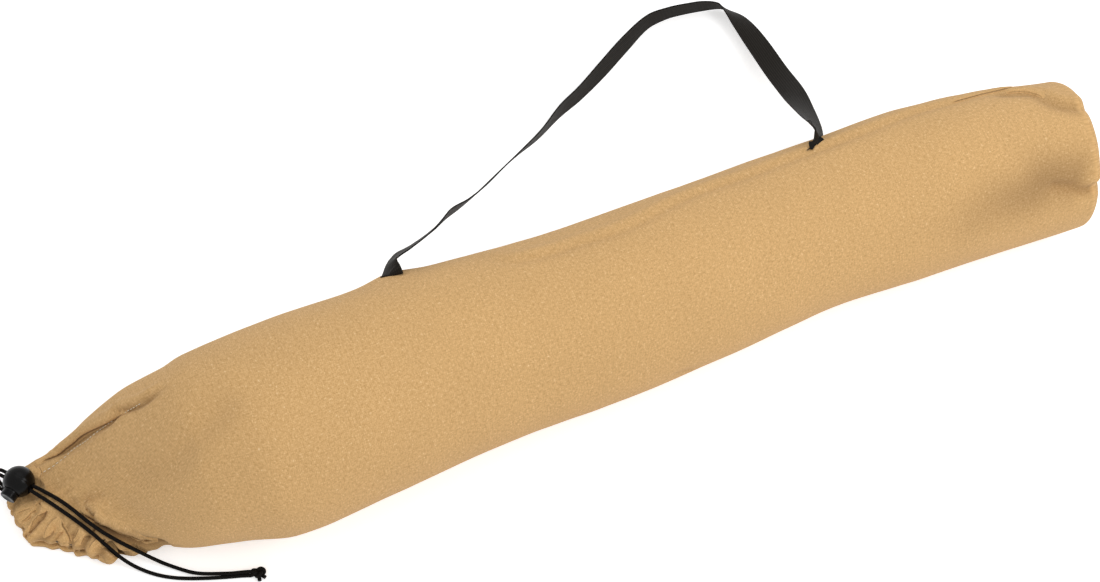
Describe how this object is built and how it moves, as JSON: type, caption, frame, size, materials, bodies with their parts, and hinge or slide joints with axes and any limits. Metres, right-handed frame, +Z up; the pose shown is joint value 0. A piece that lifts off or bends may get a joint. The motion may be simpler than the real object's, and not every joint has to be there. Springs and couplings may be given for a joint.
{
  "type": "packed play teepee",
  "caption": "Children's play teepee packed in its canvas carry bag, with a shoulder strap, a drawcord mouth and a ball cord lock.",
  "frame": {"origin": "on the floor under the bag, at the point of the bag's flat underside that the resting_face mount names", "axes": "+X along the bag from its gathered mouth to its round base, +Y towards the side where the strap lies, +Z up from the floor"},
  "size_m": [0.9213, 0.375, 0.1525],
  "materials": {
    "bag_canvas": "tan plain-woven cotton canvas",
    "base_canvas": "tan plain-woven cotton canvas",
    "hem_canvas": "tan canvas, gathered",
    "cover_cloth": "natural cotton cloth",
    "strap_webbing": "black woven webbing",
    "tab_webbing": "black woven webbing",
    "cord": "black braided cord",
    "lock_plastic": "glossy black moulded plastic",
    "plunger_plastic": "glossy black moulded plastic",
    "spring_steel": "bright spring wire",
    "pine": "sanded pine dowel",
    "zinc_steel": "zinc-plated tube",
    "foot_rubber": "matt black rubber"
  },
  "bodies": {
    "bag": {"bag_shell": "bag_canvas", "bag_base": "base_canvas", "drawcord_hem": "hem_canvas", "strap_tab_left": "tab_webbing", "strap_tab_right": "tab_webbing", "drawcord": "cord", "cord_tail_upper": "cord", "cord_tail_lower": "cord", "cord_knot": "cord", "teepee_cover": "cover_cloth", "lower_pole_1": "pine", "upper_pole_1": "pine", "ferrule_1": "zinc_steel", "rubber_foot_1": "foot_rubber", "lower_pole_2": "pine", "upper_pole_2": "pine", "ferrule_2": "zinc_steel", "rubber_foot_2": "foot_rubber", "lower_pole_3": "pine", "upper_pole_3": "pine", "ferrule_3": "zinc_steel", "rubber_foot_3": "foot_rubber", "lower_pole_4": "pine", "upper_pole_4": "pine", "ferrule_4": "zinc_steel", "rubber_foot_4": "foot_rubber"},
    "strap": {"shoulder_strap": "strap_webbing"},
    "lock": {"lock_barrel": "lock_plastic", "lock_spring": "spring_steel"},
    "plunger": {"lock_plunger": "plunger_plastic"}
  },
  "joints": [
    {"name": "strap_swing", "type": "hinge", "parent": "bag", "child": "strap", "pos_m": [-0.227, 0.06286, 0.11924], "axis": [0.999, -0.0449, -0.002], "range_deg": [0, 100]},
    {"name": "lock_slide", "type": "slide", "parent": "bag", "child": "lock", "axis": [0.6428, -0.766, 0], "range_m": [0, 0.008]},
    {"name": "lock_button", "type": "slide", "parent": "lock", "child": "plunger", "axis": [0.766, 0.6428, 0], "range_m": [0, 0.003], "stiffness_N_per_m": 600, "springref_m": -0.002, "deforming": ["lock_spring"]}
  ]
}
